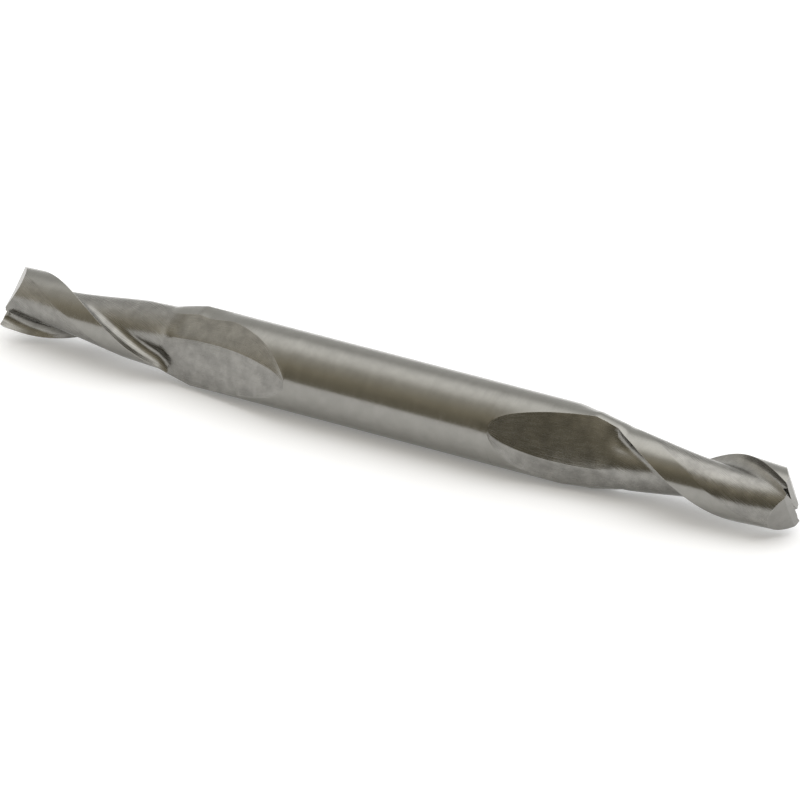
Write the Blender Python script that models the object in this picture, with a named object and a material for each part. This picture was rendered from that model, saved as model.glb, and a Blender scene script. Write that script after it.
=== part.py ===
"""Double end end mill: one ground high-speed-steel bar with two cutting ends.

The tool axis lies along X with the middle of the tool at the origin. Each end has two right-hand
helical flutes. A flute keeps its depth over the cutter, then runs straight and rises out through the
taper and the shank, where the round wheel that ground it leaves a tongue-shaped scallop.

Half of the tool is lofted from computed cross-sections, station by station from the tip to the middle.
The other end is the same half turned over about an axis square to the tool, with its flutes lifting
out a little later. Wedge cutters then grind the end teeth. Metres throughout.
"""
import math

import bmesh
import bpy
from mathutils import Matrix, Vector

# Overall sizes of the blank
OVERALL_LENGTH = 0.0512
SHANK_DIAMETER = 0.0047625
CUTTER_DIAMETER = 0.00387
LENGTH_OF_CUT = 0.0105
TAPER_ANGLE = math.radians(12.4)

# Helix of the flutes
HELIX_ANGLE = math.radians(31.3)
HELIX_LENGTH = 0.01102
FLUTE_DIRECTION = math.radians(115.0)
ROLL = math.radians(165.1)

# Cross-section of a tooth and its flute
WEB_THICKNESS = 0.00215
BACK_RADIUS = 0.00153
RAKE_ANGLE = math.radians(10.0)
FILLET_RADIUS = 0.00058
LAND_ANGLE = math.radians(46.0)
PRIMARY_LAND_ANGLE = math.radians(12.0)
PRIMARY_RELIEF = 0.00003

# Run-out of a flute into the shank, with its places measured from the end of the helix
LIFT_LEAD = 0.00092
LIFT_LAG = 0.0004
WHEEL_RADIUS = 0.0381
FLOOR_RADIUS = 0.0055
FLATTENING_LENGTH = 0.00608
FLOOR_TILT = math.radians(9.0)
FACET_SLOPE = math.radians(6.45)
FACET_LEAN = math.radians(33.0)
FACET_LEAN_AT_TIP = math.radians(-3.0)
CREASE_LIMIT = 0.8
BLEND_LEAD = 0.00092
BLEND_LENGTH = 0.0018
HEEL_DROP = 0.11
HEEL_HOLD = 0.00168
HEEL_RISE_LENGTH = 0.0022

# End teeth
DISH_ANGLE = math.radians(2.0)
END_RELIEF_ANGLE = math.radians(7.0)
END_RELIEF_WIDTH = 0.00050
END_CLEARANCE_ANGLE = math.radians(36.0)
GASH_ANGLE = math.radians(18.0)
GASH_OPENING = math.radians(40.0)
GASH_REACH = 0.00010
EDGE_SETBACK = 0.00002
CUTTER_MARGIN = 0.0005
END_STOCK = 0.0001

# Steps of the loft
LAND_STEPS = 12
BACK_STEPS = 9
FILLET_STEPS = 4
WALL_STEPS = 1
FACET_STEPS = 4
HELIX_STEPS = 18
RUNOUT_STEPS = 14
SHANK_STEPS = 4
RUNOUT_SPACING = 1.5
WELD_DISTANCE = 1e-7
SHARP_ANGLE = math.radians(22.0)

# Finish
STEEL_COLOUR = (0.32, 0.312, 0.285, 1.0)
STEEL_ROUGHNESS = 0.30

SHANK_RADIUS = SHANK_DIAMETER / 2
CUTTER_RADIUS = CUTTER_DIAMETER / 2
HALF_LENGTH = OVERALL_LENGTH / 2
HELIX_LEAD = math.pi * CUTTER_DIAMETER / math.tan(HELIX_ANGLE)
TAPER_END = LENGTH_OF_CUT + (SHANK_RADIUS - CUTTER_RADIUS) / math.tan(TAPER_ANGLE)
BACK_OFFSET = BACK_RADIUS - WEB_THICKNESS / 2
FLOOR_HEIGHT = BACK_RADIUS + BACK_OFFSET * math.cos(FLUTE_DIRECTION)
LIFT_AT_SHANK = SHANK_RADIUS - FLOOR_HEIGHT
LIFT_START = HELIX_LENGTH - LIFT_LEAD
SCALLOP_TIP = LIFT_START + math.sqrt(WHEEL_RADIUS ** 2 - (WHEEL_RADIUS - LIFT_AT_SHANK) ** 2)


def clear_scene():
    for leftover in list(bpy.data.objects):
        bpy.data.objects.remove(leftover, do_unlink=True)


def steel_material():
    """Ground tool steel."""
    steel = bpy.data.materials.new("ground_steel")
    steel.use_nodes = True
    shader = steel.node_tree.nodes["Principled BSDF"]
    shader.inputs["Base Color"].default_value = STEEL_COLOUR
    shader.inputs["Metallic"].default_value = 1.0
    shader.inputs["Roughness"].default_value = STEEL_ROUGHNESS
    return steel


def polar(angle, radius):
    return Vector((radius * math.cos(angle), radius * math.sin(angle)))


def smooth_step(value):
    value = min(1.0, max(0.0, value))
    return value * value * (3.0 - 2.0 * value)


def body_radius(station):
    """Radius of the blank at a distance from the tip: cutter, taper, then shank."""
    taper = CUTTER_RADIUS + (station - LENGTH_OF_CUT) * math.tan(TAPER_ANGLE)
    return min(SHANK_RADIUS, max(CUTTER_RADIUS, taper))


def runout_share(station):
    """0 where a flute keeps its helical form, 1 where only the wheels' own traces are left."""
    return smooth_step((station - HELIX_LENGTH + BLEND_LEAD) / BLEND_LENGTH)


def helical_flute():
    """The flute across the cutter, from the heel of one tooth to the cutting edge of the next.

    Points are (angle from the flute's direction, radius as a share of the cutter radius). The tooth's
    back is an arc about a centre moved toward its own edge, and a fillet leads into the rake face.
    """
    centre = Vector((BACK_OFFSET, 0.0))
    edge = Vector((-CUTTER_RADIUS, 0.0))
    inward = Vector((math.cos(RAKE_ANGLE), -math.sin(RAKE_ANGLE)))
    normal = Vector((math.sin(RAKE_ANGLE), math.cos(RAKE_ANGLE)))
    start = edge + normal * FILLET_RADIUS - centre
    along = start.dot(inward)
    reach = along ** 2 - start.length_squared + (BACK_RADIUS + FILLET_RADIUS) ** 2
    depth = -along - math.sqrt(reach)
    fillet = centre + start + inward * depth

    toward_back = (centre - fillet).normalized()
    back_end = centre - toward_back * BACK_RADIUS
    wall_end = fillet - normal * FILLET_RADIUS
    heel = polar(LAND_ANGLE, heel_radius())
    points = arc(centre, heel, back_end, BACK_STEPS)
    points += arc(fillet, back_end, wall_end, FILLET_STEPS)[1:]
    points += [wall_end.lerp(edge, (step + 1) / WALL_STEPS) for step in range(WALL_STEPS)]
    flute = []
    for point in points:
        angle = math.atan2(point.y, point.x) % math.tau - FLUTE_DIRECTION
        flute.append((angle, point.length / CUTTER_RADIUS))
    return flute


def heel_radius():
    """Distance from the axis to the heel, where the land meets the arc of the tooth's back."""
    across = BACK_OFFSET * math.sin(LAND_ANGLE)
    return BACK_OFFSET * math.cos(LAND_ANGLE) + math.sqrt(BACK_RADIUS ** 2 - across ** 2)


def arc(centre, first, last, steps):
    """Points on a circular arc, the short way round from first to last."""
    start = first - centre
    end = last - centre
    sweep = math.atan2(start.x * end.y - start.y * end.x, start.dot(end))
    return [centre + Matrix.Rotation(sweep * step / steps, 2) @ start for step in range(steps + 1)]


def floor_curvature(station):
    """How strongly the run-out floor is crowned: most where the helix ends, then ever flatter."""
    left = max(0.0, 1.0 - (station - HELIX_LENGTH) / FLATTENING_LENGTH)
    return left / FLOOR_RADIUS


def floor_line(radius, station):
    """The run-out floor across the tool: its height, its curvature and half its width."""
    travel = max(0.0, station - LIFT_START)
    height = FLOOR_HEIGHT + WHEEL_RADIUS - math.sqrt(WHEEL_RADIUS ** 2 - travel ** 2)
    curvature = floor_curvature(station)
    linear = 1.0 - curvature * height
    rest = max(0.0, radius ** 2 - height ** 2)
    half_width = math.sqrt(2 * rest / (linear + math.sqrt(linear ** 2 + curvature ** 2 * rest)))
    return height, curvature, half_width


def facet_line(station):
    """The heel facet across the tool: its distance from the axis and how far it leans from the roll."""
    distance = SHANK_RADIUS - (SCALLOP_TIP - station) * math.tan(FACET_SLOPE)
    part = max(0.0, station - HELIX_LENGTH) / (SCALLOP_TIP - HELIX_LENGTH)
    return distance, FACET_LEAN + (FACET_LEAN_AT_TIP - FACET_LEAN) * part ** 4


def floor_point(height, curvature, across):
    """A point of the run-out floor, turned to the floor's own direction."""
    point = Vector((height - curvature * across ** 2 / 2, across))
    return Matrix.Rotation(FLOOR_TILT, 2) @ point


def runout_corners(radius, station):
    """The heel of the run-out and how far across the floor its crease lies.

    The facet meets the floor in the crease and the land in the heel. Near the scallop's tip, where the
    facet has left the body, the floor runs on to the heel.
    """
    height, curvature, half_width = floor_line(radius, station)
    distance, lean = facet_line(station)
    turn = FLOOR_TILT + lean
    gap = distance - height * math.cos(turn)
    root = math.sqrt(max(0.0, math.sin(turn) ** 2 - 2 * curvature * math.cos(turn) * gap))
    crease = -2 * gap / (math.sin(turn) + root)
    rise = smooth_step((station - HELIX_LENGTH - HEEL_HOLD) / HEEL_RISE_LENGTH)
    heel_radius = radius * (1.0 - HEEL_DROP * (1.0 - rise))
    if crease > -half_width and distance < heel_radius:
        heel = polar(-lean - math.acos(distance / heel_radius), heel_radius)
    else:
        heel = floor_point(height, curvature, -half_width)
    return heel, max(crease, -CREASE_LIMIT * half_width)


def runout_flute(radius, station, steps):
    """What is left where the wheels lift out: a heel facet, then a crowned floor, as points across."""
    height, curvature, half_width = floor_line(radius, station)
    heel, crease = runout_corners(radius, station)
    flute = []
    for step in range(steps + 1):
        if step < FACET_STEPS:
            point = heel.lerp(floor_point(height, curvature, crease), step / FACET_STEPS)
        else:
            share = (step - FACET_STEPS) / (steps - FACET_STEPS)
            point = floor_point(height, curvature, crease + (half_width - crease) * share)
        flute.append((math.atan2(point.y, point.x), point.length))
    return flute


def flute_section(station, lag, helical):
    """One flute at a station as (angle, radius) points, blended from the helical form to the run-out."""
    radius = body_radius(station)
    straight = runout_flute(radius, station - lag, len(helical) - 1)
    share = runout_share(station)
    section = []
    for (angle, part), (out_angle, out_radius) in zip(helical, straight):
        blended_angle = angle + (out_angle - angle) * share
        blended_radius = part * radius + (out_radius - part * radius) * share
        section.append((blended_angle, blended_radius))
    return section


def land_section(station, first_angle, last_angle, heel_radius):
    """The land of one tooth, from its cutting edge back to its heel, with two steps of relief."""
    radius = body_radius(station)
    primary = PRIMARY_LAND_ANGLE / LAND_ANGLE
    primary_drop = PRIMARY_RELIEF / CUTTER_RADIUS * (1.0 - runout_share(station))
    heel_drop = 1.0 - heel_radius / radius
    section = []
    for step in range(LAND_STEPS + 1):
        part = step / LAND_STEPS
        if part < primary:
            drop = primary_drop * part / primary
        else:
            drop = primary_drop + (heel_drop - primary_drop) * (part - primary) / (1.0 - primary)
        angle = first_angle + (last_angle - first_angle) * part
        section.append((angle, radius * (1.0 - drop)))
    return section


def stations(lag):
    """Distances from the tip at which the half tool has a cross-section.

    The first lies outside the finished tip, in the stock that the end grinding takes off.
    """
    helix = HELIX_LENGTH + END_STOCK
    places = [helix * step / HELIX_STEPS - END_STOCK for step in range(HELIX_STEPS + 1)]
    span = SCALLOP_TIP + lag - HELIX_LENGTH
    for step in range(1, RUNOUT_STEPS + 1):
        places.append(SCALLOP_TIP + lag - span * (1.0 - step / RUNOUT_STEPS) ** RUNOUT_SPACING)
    for corner in (LENGTH_OF_CUT, TAPER_END):
        nearest = min(range(len(places)), key=lambda place: abs(places[place] - corner))
        places[nearest] = corner
    plain = HALF_LENGTH - SCALLOP_TIP - lag
    for step in range(SHANK_STEPS):
        places.append(HALF_LENGTH - plain * (1.0 - (step + 1) / SHANK_STEPS))
    return places


def flute_turn(station):
    """Angle of the first flute's middle about the axis. It faces the roll direction after the helix."""
    return math.tau * max(0.0, HELIX_LENGTH - station) / HELIX_LEAD


def ring_rows(station, lag, helical):
    """Angle and radius rows of one cross-section: two lands and, up to the scallop tip, two flutes."""
    turn = flute_turn(station)
    if station < SCALLOP_TIP + lag:
        flute = flute_section(station, lag, helical)
    else:
        seam = FLOOR_TILT * (HALF_LENGTH - station) / (HALF_LENGTH - SCALLOP_TIP - lag)
        flute = [(seam, SHANK_RADIUS)] * len(helical)
    heel_angle = flute[0][0]
    edge_angle = flute[-1][0]
    rows = []
    for side in range(2):
        middle = turn + math.pi * side
        land = land_section(station, middle - edge_angle, middle - math.pi - heel_angle, flute[0][1])
        rows.append(land)
        rows.append([(middle - math.pi - angle, radius) for angle, radius in flute])
    return rows


def add_face(mesh, corners):
    """Add a face, dropping corners that have run together."""
    kept = []
    for corner in corners:
        if corner not in kept:
            kept.append(corner)
    if len(kept) > 2:
        mesh.faces.new(kept)


def loft_half(mesh, end):
    """Loft one half of the tool from its tip to its middle, the right half for 1 and the left for -1.

    The left end's flutes lift out a little later than the right end's.
    """
    lag = -end * LIFT_LAG
    helical = helical_flute()
    rings = []
    for station in stations(lag):
        along = HALF_LENGTH - station
        closed = station >= SCALLOP_TIP + lag
        rows = ring_rows(station, lag, helical)
        ring = []
        for index, row in enumerate(rows):
            if closed and index % 2:
                ring.append([None] * len(row))
                continue
            ring.append([place(mesh, end, along, angle, radius) for angle, radius in row])
        rings.append(join_ring(mesh, ring, closed))
    for near, far in zip(rings, rings[1:]):
        for near_row, far_row in zip(near, far):
            for step in range(len(near_row) - 1):
                quad = (near_row[step], near_row[step + 1], far_row[step + 1], far_row[step])
                add_face(mesh, quad)
    tip = [corner for row in rings[0] for corner in row[:-1]]
    mesh.faces.new(reversed(tip))


def place(mesh, end, along, angle, radius):
    """A vertex on the tool at an angle from the roll direction."""
    turned = ROLL + end * angle
    spot = Vector((end * along, radius * math.cos(turned), radius * math.sin(turned)))
    return mesh.verts.new(spot)


def join_ring(mesh, ring, closed):
    """Make neighbouring rows of a ring share their end corners."""
    rows = len(ring)
    for index in range(0, rows, 2):
        land = ring[index]
        flute = ring[index + 1]
        following = ring[(index + 2) % rows]
        if closed:
            mesh.verts.remove(land[-1])
            land[-1] = following[0]
            flute[:] = [land[-1]] * len(flute)
            continue
        mesh.verts.remove(flute[0])
        mesh.verts.remove(flute[-1])
        flute[0] = land[-1]
        flute[-1] = following[0]
    return ring


def end_mill_blank(steel):
    """Both fluted halves joined at the middle into one closed body."""
    mesh = bmesh.new()
    for end in (1, -1):
        loft_half(mesh, end)
    bmesh.ops.remove_doubles(mesh, verts=mesh.verts[:], dist=WELD_DISTANCE)
    bmesh.ops.recalc_face_normals(mesh, faces=mesh.faces[:])
    data = bpy.data.meshes.new("end_mill")
    mesh.to_mesh(data)
    mesh.free()
    data.materials.append(steel)
    data.shade_smooth()
    data.set_sharp_from_angle(angle=SHARP_ANGLE)
    body = bpy.data.objects.new("end_mill", data)
    bpy.context.scene.collection.objects.link(body)
    return body


def wedge(name, profile, sections):
    """A solid lofted along a tooth's end edge from one profile.

    Profile points are (behind the edge, out of the end). Sections are (distance along the edge, rise).
    """
    mesh = bmesh.new()
    rows = []
    for along, rise in sections:
        rows.append([mesh.verts.new((behind, along, out + rise)) for behind, out in profile])
    mesh.faces.new(rows[0])
    mesh.faces.new(rows[-1])
    for near, far in zip(rows, rows[1:]):
        for step in range(len(profile)):
            following = (step + 1) % len(profile)
            mesh.faces.new((near[step], near[following], far[following], far[step]))
    bmesh.ops.recalc_face_normals(mesh, faces=mesh.faces[:])
    data = bpy.data.meshes.new(name)
    mesh.to_mesh(data)
    mesh.free()
    return data


def relief_wedge():
    """What is ground off an end: behind both edges a narrow relief, then a steep clearance.

    The edges dip slightly toward the middle of the tool, so that its corners touch first.
    """
    width = CUTTER_RADIUS + CUTTER_MARGIN
    relief = END_RELIEF_WIDTH * math.tan(END_RELIEF_ANGLE)
    clearance = relief + (width - END_RELIEF_WIDTH) * math.tan(END_CLEARANCE_ANGLE)
    slope = [(0.0, 0.0), (END_RELIEF_WIDTH, -relief), (width, -clearance)]
    mirrored = [(-behind, out) for behind, out in reversed(slope[1:])]
    top = [(width, width), (-width, width)]
    dip = math.tan(DISH_ANGLE)
    outer = dip * (width - CUTTER_RADIUS)
    sections = [(-width, outer), (0.0, -dip * CUTTER_RADIUS), (width, outer)]
    return wedge("end_relief", mirrored + slope + top, sections)


def gash_wedge():
    """The notch in front of an end edge, from just past the middle of the tool outward and inward."""
    depth = CUTTER_RADIUS * math.tan(GASH_ANGLE) + 2 * CUTTER_MARGIN
    front = EDGE_SETBACK - depth * math.tan(GASH_OPENING)
    profile = [(EDGE_SETBACK, 0.0), (EDGE_SETBACK, depth), (front, depth)]
    near = (-GASH_REACH - CUTTER_MARGIN, CUTTER_MARGIN * math.tan(GASH_ANGLE))
    reach = CUTTER_RADIUS + CUTTER_MARGIN
    far = (reach, -(reach + GASH_REACH) * math.tan(GASH_ANGLE))
    return wedge("gash", profile, (near, far))


def end_frames():
    """Placing of both teeth's end edges at both ends.

    Local X points behind the edge, Y outward along it and Z out of the end.
    """
    edge_turn = ROLL + flute_turn(0.0) - (math.pi - FLUTE_DIRECTION)
    turn_over = Matrix.Rotation(math.pi, 4, Vector((0.0, math.cos(ROLL), math.sin(ROLL))))
    frames = []
    for tooth in range(2):
        turn = edge_turn + math.pi * tooth
        along = Vector((0.0, math.cos(turn), math.sin(turn)))
        out = Vector((1.0, 0.0, 0.0))
        behind = along.cross(out)
        frame = Matrix((behind, along, out)).transposed().to_4x4()
        frame.translation = out * HALF_LENGTH
        frames.append((frame, turn_over @ frame))
    return frames


def cut(body, data, frame):
    """Take one wedge out of the body."""
    cutter = bpy.data.objects.new(data.name, data)
    cutter.matrix_world = frame
    cutter.hide_render = True
    cutter.display_type = 'WIRE'
    bpy.context.scene.collection.objects.link(cutter)
    ground = body.modifiers.new(data.name, 'BOOLEAN')
    ground.operation = 'DIFFERENCE'
    ground.solver = 'EXACT'
    ground.object = cutter


def grind_ends(body):
    """Grind the relief of both ends, then the gash in front of every tooth."""
    first, second = end_frames()
    relief = relief_wedge()
    gash = gash_wedge()
    for frame in first:
        cut(body, relief, frame)
    for frame in first + second:
        cut(body, gash, frame)


clear_scene()
grind_ends(end_mill_blank(steel_material()))
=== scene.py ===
"""Looks of the double end end mill: a finer body with ground-steel surfaces, on a pale floor.

The body follows the same computed cross-sections as the solid that it replaces, with more steps,
and the grinding wheel's lines run the way each surface was ground. Metres throughout.
"""
import math

import bmesh
import bpy
from mathutils import Matrix, Vector


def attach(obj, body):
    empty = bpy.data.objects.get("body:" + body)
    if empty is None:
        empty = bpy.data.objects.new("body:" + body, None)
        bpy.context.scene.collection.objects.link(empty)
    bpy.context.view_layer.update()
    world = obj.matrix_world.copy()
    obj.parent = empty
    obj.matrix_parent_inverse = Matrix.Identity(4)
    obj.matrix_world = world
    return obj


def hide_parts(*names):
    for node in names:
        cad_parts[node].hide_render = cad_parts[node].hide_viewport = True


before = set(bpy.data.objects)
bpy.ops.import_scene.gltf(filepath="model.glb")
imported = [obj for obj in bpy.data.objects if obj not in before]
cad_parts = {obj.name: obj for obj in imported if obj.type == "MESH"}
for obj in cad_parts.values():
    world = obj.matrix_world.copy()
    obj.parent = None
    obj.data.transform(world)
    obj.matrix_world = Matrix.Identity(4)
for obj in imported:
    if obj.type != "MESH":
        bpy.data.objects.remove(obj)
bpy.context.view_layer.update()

# Overall sizes of the blank, as in the solid
OVERALL_LENGTH = 0.0512
SHANK_DIAMETER = 0.0047625
CUTTER_DIAMETER = 0.00387
LENGTH_OF_CUT = 0.0105
TAPER_ANGLE = math.radians(12.4)

# Helix of the flutes
HELIX_ANGLE = math.radians(31.3)
HELIX_LENGTH = 0.01102
FLUTE_DIRECTION = math.radians(115.0)
ROLL = math.radians(165.1)

# Cross-section of a tooth and its flute
WEB_THICKNESS = 0.00215
BACK_RADIUS = 0.00153
RAKE_ANGLE = math.radians(10.0)
FILLET_RADIUS = 0.00058
LAND_ANGLE = math.radians(46.0)
PRIMARY_LAND_ANGLE = math.radians(12.0)
PRIMARY_RELIEF = 0.00003

# Run-out of a flute into the shank, with its places measured from the end of the helix
LIFT_LEAD = 0.00092
LIFT_LAG = 0.0004
WHEEL_RADIUS = 0.0381
FLOOR_RADIUS = 0.0055
FLATTENING_LENGTH = 0.00608
FLOOR_TILT = math.radians(9.0)
FACET_SLOPE = math.radians(6.45)
FACET_LEAN = math.radians(33.0)
FACET_LEAN_AT_TIP = math.radians(-3.0)
FACET_LEAN_POWER = 4
CREASE_LIMIT = 0.8
BLEND_LEAD = 0.00092
BLEND_LENGTH = 0.0018
HEEL_DROP = 0.11
HEEL_HOLD = 0.00168
HEEL_RISE_LENGTH = 0.0022

# End teeth
DISH_ANGLE = math.radians(2.0)
END_RELIEF_ANGLE = math.radians(7.0)
END_RELIEF_WIDTH = 0.00050
END_CLEARANCE_ANGLE = math.radians(36.0)
GASH_ANGLE = math.radians(18.0)
GASH_OPENING = math.radians(40.0)
GASH_REACH = 0.00010
EDGE_SETBACK = 0.00002
CUTTER_MARGIN = 0.0005
END_STOCK = 0.0001

# Steps of the solid's loft across a flute, which share out its width
SOLID_BACK_STEPS = 9
SOLID_FILLET_STEPS = 4
SOLID_WALL_STEPS = 1
SOLID_FACET_STEPS = 4

# Steps of the finer loft
LAND_STEPS = 20
BACK_STEPS = 24
FILLET_STEPS = 10
WALL_STEPS = 5
HELIX_STEPS = 72
RUNOUT_STEPS = 64
SHANK_STEPS = 8
RUNOUT_SPACING = 1.5
SMOOTH_ANGLE = math.radians(20.0)
WELD_DISTANCE = 1e-7

# Grinding coordinates: millimetres along the tool, radians across, each row's apart from the next
MM_PER_METRE = 1000
FLUTE_SPAN = 2.2
ROW_OFFSET = 5

# Finish of the steel, with its grinding lines, mottling and a painted highlight along its edges
SHANK_GREY = (0.27, 0.265, 0.247)
FLUTE_GREY = (0.245, 0.24, 0.225)
ROUND_FINISH = {"colour": SHANK_GREY, "mottle": 0.05, "roughness": 0.20, "spread": 0.05,
                "stretch": (12000.0, 500.0, 500.0), "lines": 0.25}
FLUTE_FINISH = {"colour": FLUTE_GREY, "mottle": 0.16, "roughness": 0.25, "spread": 0.08,
                "stretch": (0.6, 22.0, 1.0), "lines": 0.5}
END_FINISH = {"colour": FLUTE_GREY, "mottle": 0.06, "roughness": 0.24, "spread": 0.06,
              "stretch": (2.0, 30.0, 1.0), "lines": 0.4}
LINE_NOISE = {"Scale": 1.0, "Detail": 4.0, "Roughness": 0.65}
LINE_CONTRAST = (0.3, 0.7)
LINE_DEPTH = 0.00001
MOTTLE_NOISE = {"Scale": 1400.0, "Detail": 5.0, "Roughness": 0.6}
MOTTLE_CONTRAST = (0.35, 0.65)
# Radius of the rounded edges, which also sets how wide the painted edge highlight is
EDGE_ROUNDING = 0.00003
EDGE_SAMPLES = 6
EDGE_TURN = (0.995, 0.90)
# How much lighter than the steel the painted edge highlight is
EDGE_HIGHLIGHT_SHADE = 1.7

# Light of the room: shades from the front at 0 to the back at 1, then two glows
ROOM_AXIS = (0.05, 0.985, -0.16)
ROOM_SHADES = [
    (0.0, (0.20, 0.18, 0.13, 1.0)),
    (0.1, (0.49, 0.44, 0.33, 1.0)),
    (0.3, (0.75, 0.72, 0.65, 1.0)),
    (0.6, (0.70, 0.69, 0.66, 1.0)),
    (1.0, (0.80, 0.80, 0.78, 1.0)),
]
LIGHT_AXIS = (0.20, 0.27, 0.94)
LIGHT_RIM = 0.66
LIGHT_CORE = 0.89
LIGHT_LEVEL = 1.20
SIDE_AXIS = (-1.0, 0.0, 0.0)
SIDE_RIM = 0.47
SIDE_CORE = 0.75
SIDE_LEVEL = 0.30

# Floor under the tool
FLOOR_REACH = 0.6
FLOOR_GLOW = 0.17
PAPER_WHITE = (0.88, 0.89, 0.92, 1.0)
PAPER_ROUGHNESS = 0.9

# Camera
VIEW_AZIMUTH = math.radians(28.4)
VIEW_ELEVATION = math.radians(29.1)
VIEW_DISTANCE = 0.7
LENS = 545.0
AIM_RIGHT = 0.00015
AIM_DOWN = 0.00013
SENSOR_WIDTH = 36.0
CLIP_START = 0.05

SOLID_FLUTE_STEPS = SOLID_BACK_STEPS + SOLID_FILLET_STEPS + SOLID_WALL_STEPS
FACET_SHARE = SOLID_FACET_STEPS / SOLID_FLUTE_STEPS
SHANK_RADIUS = SHANK_DIAMETER / 2
CUTTER_RADIUS = CUTTER_DIAMETER / 2
HALF_LENGTH = OVERALL_LENGTH / 2
HELIX_LEAD = math.pi * CUTTER_DIAMETER / math.tan(HELIX_ANGLE)
TAPER_END = LENGTH_OF_CUT + (SHANK_RADIUS - CUTTER_RADIUS) / math.tan(TAPER_ANGLE)
BACK_OFFSET = BACK_RADIUS - WEB_THICKNESS / 2
FLOOR_HEIGHT = BACK_RADIUS + BACK_OFFSET * math.cos(FLUTE_DIRECTION)
LIFT_AT_SHANK = SHANK_RADIUS - FLOOR_HEIGHT
LIFT_START = HELIX_LENGTH - LIFT_LEAD
SCALLOP_TIP = LIFT_START + math.sqrt(WHEEL_RADIUS ** 2 - (WHEEL_RADIUS - LIFT_AT_SHANK) ** 2)

# Material slots of the body
ROUND_GROUND = 0
FLUTE_GROUND = 1
END_GROUND = 2


def polar(angle, radius):
    """A point of a cross-section at an angle and a distance from the axis."""
    return Vector((radius * math.cos(angle), radius * math.sin(angle)))


def smooth_step(value):
    """A value held between 0 and 1, easing in and out."""
    value = min(1.0, max(0.0, value))
    return value * value * (3.0 - 2.0 * value)


def body_radius(station):
    """Radius of the blank at a distance from the tip: cutter, taper, then shank."""
    taper = CUTTER_RADIUS + (station - LENGTH_OF_CUT) * math.tan(TAPER_ANGLE)
    return min(SHANK_RADIUS, max(CUTTER_RADIUS, taper))


def runout_share(station):
    """0 where a flute keeps its helical form, 1 where only the wheels' own traces are left."""
    return smooth_step((station - HELIX_LENGTH + BLEND_LEAD) / BLEND_LENGTH)


def arc(centre, first, last, steps):
    """Points on a circular arc, the short way round from first to last."""
    start = first - centre
    end = last - centre
    sweep = math.atan2(start.x * end.y - start.y * end.x, start.dot(end))
    turns = [Matrix.Rotation(sweep * step / steps, 2) for step in range(steps + 1)]
    return [centre + turn @ start for turn in turns]


def tooth_heel_radius():
    """Distance from the axis to the heel, where the land meets the arc of the tooth's back."""
    across = BACK_OFFSET * math.sin(LAND_ANGLE)
    return BACK_OFFSET * math.cos(LAND_ANGLE) + math.sqrt(BACK_RADIUS ** 2 - across ** 2)


def helical_flute():
    """The flute across the cutter, from the heel of one tooth to the cutting edge of the next."""
    centre = Vector((BACK_OFFSET, 0.0))
    edge = Vector((-CUTTER_RADIUS, 0.0))
    inward = Vector((math.cos(RAKE_ANGLE), -math.sin(RAKE_ANGLE)))
    normal = Vector((math.sin(RAKE_ANGLE), math.cos(RAKE_ANGLE)))
    start = edge + normal * FILLET_RADIUS - centre
    along = start.dot(inward)
    reach = along ** 2 - start.length_squared + (BACK_RADIUS + FILLET_RADIUS) ** 2
    depth = -along - math.sqrt(reach)
    fillet = centre + start + inward * depth

    toward_back = (centre - fillet).normalized()
    back_end = centre - toward_back * BACK_RADIUS
    wall_end = fillet - normal * FILLET_RADIUS
    heel = polar(LAND_ANGLE, tooth_heel_radius())
    points = arc(centre, heel, back_end, BACK_STEPS)
    points += arc(fillet, back_end, wall_end, FILLET_STEPS)[1:]
    points += [wall_end.lerp(edge, (step + 1) / WALL_STEPS) for step in range(WALL_STEPS)]
    flute = []
    for point in points:
        angle = math.atan2(point.y, point.x) % math.tau - FLUTE_DIRECTION
        flute.append((angle, point.length / CUTTER_RADIUS))
    return flute


def floor_curvature(station):
    """How strongly the run-out floor is crowned: most where the helix ends, then ever flatter."""
    left = max(0.0, 1.0 - (station - HELIX_LENGTH) / FLATTENING_LENGTH)
    return left / FLOOR_RADIUS


def floor_line(radius, station):
    """The run-out floor across the tool: its height, its curvature and half its width."""
    travel = max(0.0, station - LIFT_START)
    height = FLOOR_HEIGHT + WHEEL_RADIUS - math.sqrt(WHEEL_RADIUS ** 2 - travel ** 2)
    curvature = floor_curvature(station)
    linear = 1.0 - curvature * height
    rest = max(0.0, radius ** 2 - height ** 2)
    half_width = math.sqrt(2 * rest / (linear + math.sqrt(linear ** 2 + curvature ** 2 * rest)))
    return height, curvature, half_width


def facet_line(station):
    """The heel facet across the tool: its distance from the axis and its lean from the roll."""
    distance = SHANK_RADIUS - (SCALLOP_TIP - station) * math.tan(FACET_SLOPE)
    part = max(0.0, station - HELIX_LENGTH) / (SCALLOP_TIP - HELIX_LENGTH)
    lean = FACET_LEAN + (FACET_LEAN_AT_TIP - FACET_LEAN) * part ** FACET_LEAN_POWER
    return distance, lean


def floor_point(height, curvature, across):
    """A point of the run-out floor, turned to the floor's own direction."""
    point = Vector((height - curvature * across ** 2 / 2, across))
    return Matrix.Rotation(FLOOR_TILT, 2) @ point


def runout_corners(radius, station):
    """The heel of the run-out and how far across the floor its crease lies.

    The facet meets the floor in the crease and the land in the heel. Near the scallop's tip, where
    the facet has left the body, the floor runs on to the heel.
    """
    height, curvature, half_width = floor_line(radius, station)
    distance, lean = facet_line(station)
    turn = FLOOR_TILT + lean
    gap = distance - height * math.cos(turn)
    root = math.sqrt(max(0.0, math.sin(turn) ** 2 - 2 * curvature * math.cos(turn) * gap))
    crease = -2 * gap / (math.sin(turn) + root)
    rise = smooth_step((station - HELIX_LENGTH - HEEL_HOLD) / HEEL_RISE_LENGTH)
    heel_radius = radius * (1.0 - HEEL_DROP * (1.0 - rise))
    if crease > -half_width and distance < heel_radius:
        heel = polar(-lean - math.acos(distance / heel_radius), heel_radius)
    else:
        heel = floor_point(height, curvature, -half_width)
    return heel, max(crease, -CREASE_LIMIT * half_width)


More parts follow.
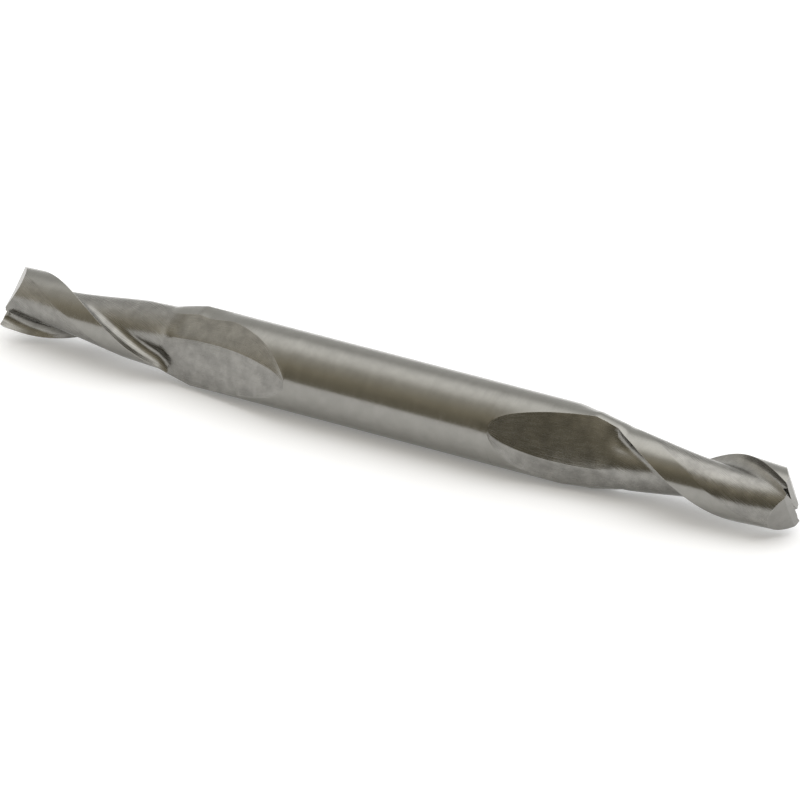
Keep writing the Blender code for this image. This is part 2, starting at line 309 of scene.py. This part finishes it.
def runout_flute(radius, station, places):
    """What is left where the wheels lift out: points across a heel facet, then a crowned floor."""
    height, curvature, half_width = floor_line(radius, station)
    heel, crease = runout_corners(radius, station)
    flute = []
    for part in places:
        if part < FACET_SHARE:
            point = heel.lerp(floor_point(height, curvature, crease), part / FACET_SHARE)
        else:
            share = (part - FACET_SHARE) / (1.0 - FACET_SHARE)
            point = floor_point(height, curvature, crease + (half_width - crease) * share)
        flute.append((math.atan2(point.y, point.x), point.length))
    return flute


def places_across():
    """Where the flute's points lie across it, 0 at the heel and 1 at the edge, as in the solid."""
    back = SOLID_BACK_STEPS / SOLID_FLUTE_STEPS
    fillet = SOLID_FILLET_STEPS / SOLID_FLUTE_STEPS
    wall = SOLID_WALL_STEPS / SOLID_FLUTE_STEPS
    places = [back * step / BACK_STEPS for step in range(BACK_STEPS + 1)]
    places += [back + fillet * (step + 1) / FILLET_STEPS for step in range(FILLET_STEPS)]
    places += [back + fillet + wall * (step + 1) / WALL_STEPS for step in range(WALL_STEPS)]
    return places


def flute_section(station, lag, helical, places):
    """One flute at a station as (angle, radius) points, between helical form and run-out."""
    radius = body_radius(station)
    straight = runout_flute(radius, station - lag, places)
    share = runout_share(station)
    section = []
    for (angle, part), (out_angle, out_radius) in zip(helical, straight):
        blended_angle = angle + (out_angle - angle) * share
        blended_radius = part * radius + (out_radius - part * radius) * share
        section.append((blended_angle, blended_radius))
    return section


def land_section(station, first_angle, last_angle, heel_radius):
    """The land of one tooth, from its cutting edge back to its heel, with two steps of relief."""
    radius = body_radius(station)
    primary = PRIMARY_LAND_ANGLE / LAND_ANGLE
    primary_drop = PRIMARY_RELIEF / CUTTER_RADIUS * (1.0 - runout_share(station))
    heel_drop = 1.0 - heel_radius / radius
    section = []
    for step in range(LAND_STEPS + 1):
        part = step / LAND_STEPS
        if part < primary:
            drop = primary_drop * part / primary
        else:
            drop = primary_drop + (heel_drop - primary_drop) * (part - primary) / (1.0 - primary)
        angle = first_angle + (last_angle - first_angle) * part
        section.append((angle, radius * (1.0 - drop)))
    return section


def stations(lag):
    """Distances from the tip at which the half tool has a cross-section."""
    helix = HELIX_LENGTH + END_STOCK
    places = [helix * step / HELIX_STEPS - END_STOCK for step in range(HELIX_STEPS + 1)]
    span = SCALLOP_TIP + lag - HELIX_LENGTH
    for step in range(1, RUNOUT_STEPS + 1):
        places.append(SCALLOP_TIP + lag - span * (1.0 - step / RUNOUT_STEPS) ** RUNOUT_SPACING)
    for corner in (LENGTH_OF_CUT, TAPER_END):
        nearest = min(range(len(places)), key=lambda index: abs(places[index] - corner))
        places[nearest] = corner
    plain = HALF_LENGTH - SCALLOP_TIP - lag
    for step in range(SHANK_STEPS):
        places.append(HALF_LENGTH - plain * (1.0 - (step + 1) / SHANK_STEPS))
    return places


def flute_turn(station):
    """Angle of the first flute's middle about the axis, which is 0 once the helix has ended."""
    return math.tau * max(0.0, HELIX_LENGTH - station) / HELIX_LEAD


def ring_rows(station, lag, helical, places):
    """Rows of (angle, radius) points of one cross-section: land, flute, land, flute.

    Past the scallop's tip a flute is drawn together into a seam on the round shank.
    """
    turn = flute_turn(station)
    if station < SCALLOP_TIP + lag:
        flute = flute_section(station, lag, helical, places)
    else:
        seam = FLOOR_TILT * (HALF_LENGTH - station) / (HALF_LENGTH - SCALLOP_TIP - lag)
        flute = [(seam, SHANK_RADIUS)] * len(helical)
    heel_angle = flute[0][0]
    edge_angle = flute[-1][0]
    rows = []
    for side in range(2):
        middle = turn + math.pi * side
        heel = middle - math.pi - heel_angle
        rows.append(land_section(station, middle - edge_angle, heel, flute[0][1]))
        rows.append([(middle - math.pi - angle, radius) for angle, radius in flute])
    return rows


def place(mesh, end, along, angle, radius):
    """A vertex on the tool at an angle from the roll direction."""
    turned = ROLL + end * angle
    spot = Vector((end * along, radius * math.cos(turned), radius * math.sin(turned)))
    return mesh.verts.new(spot)


def join_ring(mesh, ring, closed):
    """Make neighbouring rows of a ring share their end corners; a closed ring has lands alone."""
    rows = len(ring)
    for index in range(0, rows, 2):
        land = ring[index]
        flute = ring[index + 1]
        following = ring[(index + 2) % rows]
        if closed:
            mesh.verts.remove(land[-1])
            land[-1] = following[0]
            flute[:] = [land[-1]] * len(flute)
            continue
        mesh.verts.remove(flute[0])
        mesh.verts.remove(flute[-1])
        flute[0] = land[-1]
        flute[-1] = following[0]
    return ring


def add_face(mesh, grind, corners, slot):
    """Add a face with its grinding coordinates, dropping corners that have run together."""
    kept = []
    for vertex, spot in corners:
        if vertex not in [other for other, _ in kept]:
            kept.append((vertex, spot))
    if len(kept) < 3:
        return
    face = mesh.faces.new([vertex for vertex, _ in kept])
    face.material_index = slot
    for loop, (_, spot) in zip(face.loops, kept):
        loop[grind].uv = spot


def loft_half(mesh, grind, end):
    """Loft one half of the tool from its tip to its middle: the right half for 1, the left for -1.

    The left half's flutes lift out a little later than the right half's.
    """
    helical = helical_flute()
    places = places_across()
    widths = [[LAND_ANGLE * step / LAND_STEPS for step in range(LAND_STEPS + 1)],
              [FLUTE_SPAN * part for part in places]]
    rings = []
    lag = -end * LIFT_LAG
    for station in stations(lag):
        along = HALF_LENGTH - station
        closed = station >= SCALLOP_TIP + lag
        ring = []
        for index, row in enumerate(ring_rows(station, lag, helical, places)):
            if closed and index % 2:
                ring.append([None] * len(row))
                continue
            ring.append([place(mesh, end, along, angle, radius) for angle, radius in row])
        rings.append((station, join_ring(mesh, ring, closed)))
    for (near_at, near), (far_at, far) in zip(rings, rings[1:]):
        for index, (near_row, far_row) in enumerate(zip(near, far)):
            across = [width + ROW_OFFSET * index for width in widths[index % 2]]
            slot = FLUTE_GROUND if index % 2 else ROUND_GROUND
            for step in range(len(near_row) - 1):
                corners = ((near_row[step], (near_at * MM_PER_METRE, across[step])),
                           (near_row[step + 1], (near_at * MM_PER_METRE, across[step + 1])),
                           (far_row[step + 1], (far_at * MM_PER_METRE, across[step + 1])),
                           (far_row[step], (far_at * MM_PER_METRE, across[step])))
                add_face(mesh, grind, corners, slot)
    tip = [corner for row in rings[0][1] for corner in row[:-1]]
    mesh.faces.new(reversed(tip)).material_index = END_GROUND


def fine_blank(materials):
    """Both fluted halves joined at the middle into one closed body."""
    mesh = bmesh.new()
    grind = mesh.loops.layers.uv.new("grind")
    for end in (1, -1):
        loft_half(mesh, grind, end)
    bmesh.ops.remove_doubles(mesh, verts=mesh.verts[:], dist=WELD_DISTANCE)
    bmesh.ops.recalc_face_normals(mesh, faces=mesh.faces[:])
    data = bpy.data.meshes.new("steel_blank")
    mesh.to_mesh(data)
    mesh.free()
    for material in materials:
        data.materials.append(material)
    body = bpy.data.objects.new("steel_blank", data)
    bpy.context.scene.collection.objects.link(body)
    return body


def wedge(name, profile, sections):
    """A solid lofted along a tooth's end edge from one profile.

    Profile points are (behind the edge, out of the end), and sections (distance along it, rise).
    """
    mesh = bmesh.new()
    rows = []
    for along, rise in sections:
        rows.append([mesh.verts.new((behind, along, out + rise)) for behind, out in profile])
    mesh.faces.new(rows[0])
    mesh.faces.new(rows[-1])
    for near, far in zip(rows, rows[1:]):
        for step in range(len(profile)):
            following = (step + 1) % len(profile)
            mesh.faces.new((near[step], near[following], far[following], far[step]))
    bmesh.ops.recalc_face_normals(mesh, faces=mesh.faces[:])
    grind = mesh.loops.layers.uv.new("grind")
    for face in mesh.faces:
        face.material_index = END_GROUND
        for loop in face.loops:
            loop[grind].uv = (loop.vert.co.x * MM_PER_METRE, loop.vert.co.y * MM_PER_METRE)
    data = bpy.data.meshes.new(name)
    mesh.to_mesh(data)
    mesh.free()
    return data


def relief_wedge():
    """What is ground off an end: behind both edges a narrow relief, then a steep clearance."""
    width = CUTTER_RADIUS + CUTTER_MARGIN
    relief = END_RELIEF_WIDTH * math.tan(END_RELIEF_ANGLE)
    clearance = relief + (width - END_RELIEF_WIDTH) * math.tan(END_CLEARANCE_ANGLE)
    slope = [(0.0, 0.0), (END_RELIEF_WIDTH, -relief), (width, -clearance)]
    mirrored = [(-behind, out) for behind, out in reversed(slope[1:])]
    top = [(width, width), (-width, width)]
    dip = math.tan(DISH_ANGLE)
    outer = dip * (width - CUTTER_RADIUS)
    sections = [(-width, outer), (0.0, -dip * CUTTER_RADIUS), (width, outer)]
    return wedge("end_relief", mirrored + slope + top, sections)


def gash_wedge():
    """The notch in front of an end edge, from just past the tool's middle outward and inward."""
    depth = CUTTER_RADIUS * math.tan(GASH_ANGLE) + 2 * CUTTER_MARGIN
    front = EDGE_SETBACK - depth * math.tan(GASH_OPENING)
    profile = [(EDGE_SETBACK, 0.0), (EDGE_SETBACK, depth), (front, depth)]
    near = (-GASH_REACH - CUTTER_MARGIN, CUTTER_MARGIN * math.tan(GASH_ANGLE))
    reach = CUTTER_RADIUS + CUTTER_MARGIN
    far = (reach, -(reach + GASH_REACH) * math.tan(GASH_ANGLE))
    return wedge("gash", profile, (near, far))


def end_frames():
    """Where each tooth's end edge lies, at the right end and turned over to the left one."""
    edge_turn = ROLL + flute_turn(0.0) - (math.pi - FLUTE_DIRECTION)
    turn_over = Matrix.Rotation(math.pi, 4, Vector((0.0, math.cos(ROLL), math.sin(ROLL))))
    frames = []
    for tooth in range(2):
        turn = edge_turn + math.pi * tooth
        along = Vector((0.0, math.cos(turn), math.sin(turn)))
        out = Vector((1.0, 0.0, 0.0))
        behind = along.cross(out)
        placed = Matrix((behind, along, out)).transposed().to_4x4()
        placed.translation = out * HALF_LENGTH
        frames.append((placed, turn_over @ placed))
    return frames


def ground_body(blank):
    """The blank with both ends ground, as one finished mesh."""
    first, second = end_frames()
    relief = relief_wedge()
    gash = gash_wedge()
    cuts = [(relief, placed) for placed in first]
    cuts += [(gash, placed) for placed in first + second]
    cutters = []
    for data, placed in cuts:
        cutter = bpy.data.objects.new(data.name, data)
        cutter.matrix_world = placed
        bpy.context.scene.collection.objects.link(cutter)
        ground = blank.modifiers.new(data.name, 'BOOLEAN')
        ground.operation = 'DIFFERENCE'
        ground.solver = 'EXACT'
        ground.object = cutter
        cutters.append(cutter)
    graph = bpy.context.evaluated_depsgraph_get()
    data = bpy.data.meshes.new_from_object(blank.evaluated_get(graph), depsgraph=graph)
    data.name = "tool_steel"
    for spent in cutters + [blank]:
        bpy.data.objects.remove(spent, do_unlink=True)
    data.shade_smooth()
    data.set_sharp_from_angle(angle=SMOOTH_ANGLE)
    body = bpy.data.objects.new("tool_steel", data)
    bpy.context.scene.collection.objects.link(body)
    return body


class Nodes:
    """Shorthand for building a node tree."""

    def __init__(self, tree):
        self.tree = tree

    def add(self, kind, settings=None, **inputs):
        """A node with its settings, and its inputs given by name."""
        node = self.tree.nodes.new(kind)
        for name, value in (settings or {}).items():
            setattr(node, name, value)
        for name, value in inputs.items():
            self.feed(node, name, value)
        return node

    def feed(self, node, name, value):
        """Link or set an input, found by its name or its place."""
        socket = node.inputs[name]
        if isinstance(value, bpy.types.NodeSocket):
            self.tree.links.new(value, socket)
        else:
            socket.default_value = value

    def combine(self, kind, operation, first, second):
        """A maths node of two values."""
        node = self.add(kind, {"operation": operation})
        self.feed(node, 0, first)
        self.feed(node, 1, second)
        return node

    def number(self, operation, first, second):
        """One number from two."""
        return self.combine("ShaderNodeMath", operation, first, second).outputs["Value"]

    def dot(self, first, second):
        """How far two directions agree, 1 when they are the same."""
        node = self.combine("ShaderNodeVectorMath", 'DOT_PRODUCT', first, second)
        return node.outputs["Value"]

    def remap(self, value, source, target=(0.0, 1.0), kind='LINEAR'):
        """A value carried over from one range to another and held within it."""
        node = self.add("ShaderNodeMapRange", {"interpolation_type": kind}, Value=value)
        for name, limit in zip(("From Min", "From Max", "To Min", "To Max"), source + target):
            self.feed(node, name, limit)
        return node.outputs["Result"]


def shade(colour, share):
    """A colour made lighter or darker, with full alpha."""
    return tuple(channel * share for channel in colour) + (1.0,)


def steel(name, coordinates, colour, mottle, roughness, spread, stretch, lines):
    """Ground steel whose wheel lines follow the given coordinates, with a painted highlight along
    its edges.

    The stretch scales the coordinates so that the noise is drawn out along the lines.
    """
    material = bpy.data.materials.new(name)
    material.use_nodes = True
    nodes = Nodes(material.node_tree)
    shader = material.node_tree.nodes["Principled BSDF"]
    source = nodes.add("ShaderNodeTexCoord")
    if coordinates == "grind":
        place_at = nodes.add("ShaderNodeUVMap", {"uv_map": "grind"}).outputs["UV"]
    else:
        place_at = source.outputs["Object"]
    stretched = nodes.add("ShaderNodeMapping", Vector=place_at, Scale=stretch)
    fine = nodes.add("ShaderNodeTexNoise", Vector=stretched.outputs["Vector"], **LINE_NOISE)
    broad = nodes.add("ShaderNodeTexNoise", Vector=source.outputs["Object"], **MOTTLE_NOISE)
    tint = nodes.add("ShaderNodeValToRGB", Fac=nodes.remap(broad.outputs["Fac"], MOTTLE_CONTRAST))
    tint.color_ramp.elements[0].color = shade(colour, 1.0 - mottle)
    tint.color_ramp.elements[1].color = shade(colour, 1.0 + mottle)
    # Painted highlight: where the rounded edge's normal turns away from the flat one, the colour
    # is lightened to stand in for light caught by the edges
    rounded = nodes.add("ShaderNodeBevel", {"samples": EDGE_SAMPLES}, Radius=EDGE_ROUNDING)
    flat = nodes.add("ShaderNodeNewGeometry")
    agreement = nodes.dot(rounded.outputs["Normal"], flat.outputs["Normal"])
    highlighted_edges = nodes.add("ShaderNodeMixRGB", Fac=nodes.remap(agreement, EDGE_TURN),
                      Color1=tint.outputs["Color"], Color2=shade(colour, EDGE_HIGHLIGHT_SHADE))
    nodes.feed(shader, "Base Color", highlighted_edges.outputs["Color"])
    rough = (roughness - spread, roughness + spread)
    nodes.feed(shader, "Roughness", nodes.remap(fine.outputs["Fac"], LINE_CONTRAST, rough))
    bump = nodes.add("ShaderNodeBump", Height=fine.outputs["Fac"], Strength=lines,
                     Distance=LINE_DEPTH, Normal=rounded.outputs["Normal"])
    nodes.feed(shader, "Normal", bump.outputs["Normal"])
    nodes.feed(shader, "Metallic", 1.0)
    return material


def backdrop_share(nodes):
    """1 for rays that come from the camera, a reflection or through glass."""
    path = nodes.add("ShaderNodeLightPath").outputs
    seen = nodes.number('MAXIMUM', path["Is Camera Ray"], path["Is Glossy Ray"])
    return nodes.number('MAXIMUM', seen, path["Is Transmission Ray"])


def floor():
    """A plain pale floor under the tool, white as seen and keeping the tool's soft shadow."""
    level = -SHANK_RADIUS
    data = bpy.data.meshes.new("floor")
    corners = [(-1, -1), (1, -1), (1, 1), (-1, 1)]
    spots = [(x * FLOOR_REACH, y * FLOOR_REACH, level) for x, y in corners]
    data.from_pydata(spots, [], [(0, 1, 2, 3)])
    paper = bpy.data.materials.new("white_paper")
    paper.use_nodes = True
    nodes = Nodes(paper.node_tree)
    shader = paper.node_tree.nodes["Principled BSDF"]
    shader.inputs["Base Color"].default_value = PAPER_WHITE
    shader.inputs["Roughness"].default_value = PAPER_ROUGHNESS
    shader.inputs["Specular IOR Level"].default_value = 0.0
    shader.inputs["Emission Color"].default_value = (1.0, 1.0, 1.0, 1.0)
    strength = nodes.number('MULTIPLY', backdrop_share(nodes), FLOOR_GLOW)
    nodes.feed(shader, "Emission Strength", strength)
    data.materials.append(paper)
    sheet = bpy.data.objects.new("floor", data)
    bpy.context.scene.collection.objects.link(sheet)


def glow(nodes, direction, axis, rim, core, level):
    """Light that swells smoothly toward one direction."""
    return nodes.remap(nodes.dot(direction, axis), (rim, core), (0.0, level), 'SMOOTHSTEP')


def room():
    """A pale room, dark toward the front, with soft light overhead and a weak glow at the left."""
    world = bpy.data.worlds.new("room")
    world.use_nodes = True
    bpy.context.scene.world = world
    nodes = Nodes(world.node_tree)
    direction = nodes.add("ShaderNodeTexCoord").outputs["Generated"]
    share = nodes.remap(nodes.dot(direction, ROOM_AXIS), (-1.0, 1.0))
    ramp = nodes.add("ShaderNodeValToRGB", Fac=share)
    stops = ramp.color_ramp.elements
    stops[0].position, stops[0].color = ROOM_SHADES[0]
    stops[1].position, stops[1].color = ROOM_SHADES[-1]
    for position, colour in ROOM_SHADES[1:-1]:
        stops.new(position).color = colour
    overhead = glow(nodes, direction, LIGHT_AXIS, LIGHT_RIM, LIGHT_CORE, LIGHT_LEVEL)
    side = glow(nodes, direction, SIDE_AXIS, SIDE_RIM, SIDE_CORE, SIDE_LEVEL)
    glows = nodes.number('ADD', overhead, side)
    lit = nodes.combine("ShaderNodeVectorMath", 'ADD', ramp.outputs["Color"], glows)
    nodes.feed(world.node_tree.nodes["Background"], "Color", lit.outputs["Vector"])


def camera():
    """The camera, at the photograph's viewing angle."""
    level = math.cos(VIEW_ELEVATION)
    back = Vector((math.sin(VIEW_AZIMUTH) * level, -math.cos(VIEW_AZIMUTH) * level,
                   math.sin(VIEW_ELEVATION)))
    right = Vector((math.cos(VIEW_AZIMUTH), math.sin(VIEW_AZIMUTH), 0.0))
    up = back.cross(right)
    lens = bpy.data.cameras.new("camera")
    lens.lens = LENS
    lens.sensor_width = SENSOR_WIDTH
    lens.clip_start = CLIP_START
    view = bpy.data.objects.new("camera", lens)
    matrix = Matrix((right, up, back)).transposed().to_4x4()
    matrix.translation = right * AIM_RIGHT - up * AIM_DOWN + back * VIEW_DISTANCE
    view.matrix_world = matrix
    bpy.context.scene.collection.objects.link(view)
    bpy.context.scene.camera = view


camera()
floor()
room()
bpy.context.scene.view_settings.view_transform = 'Standard'

round_steel = steel("round_ground_steel", "object", **ROUND_FINISH)
flute_steel = steel("flute_ground_steel", "grind", **FLUTE_FINISH)
end_steel = steel("end_ground_steel", "grind", **END_FINISH)
tool = ground_body(fine_blank((round_steel, flute_steel, end_steel)))
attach(tool, "root")
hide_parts("end_mill")
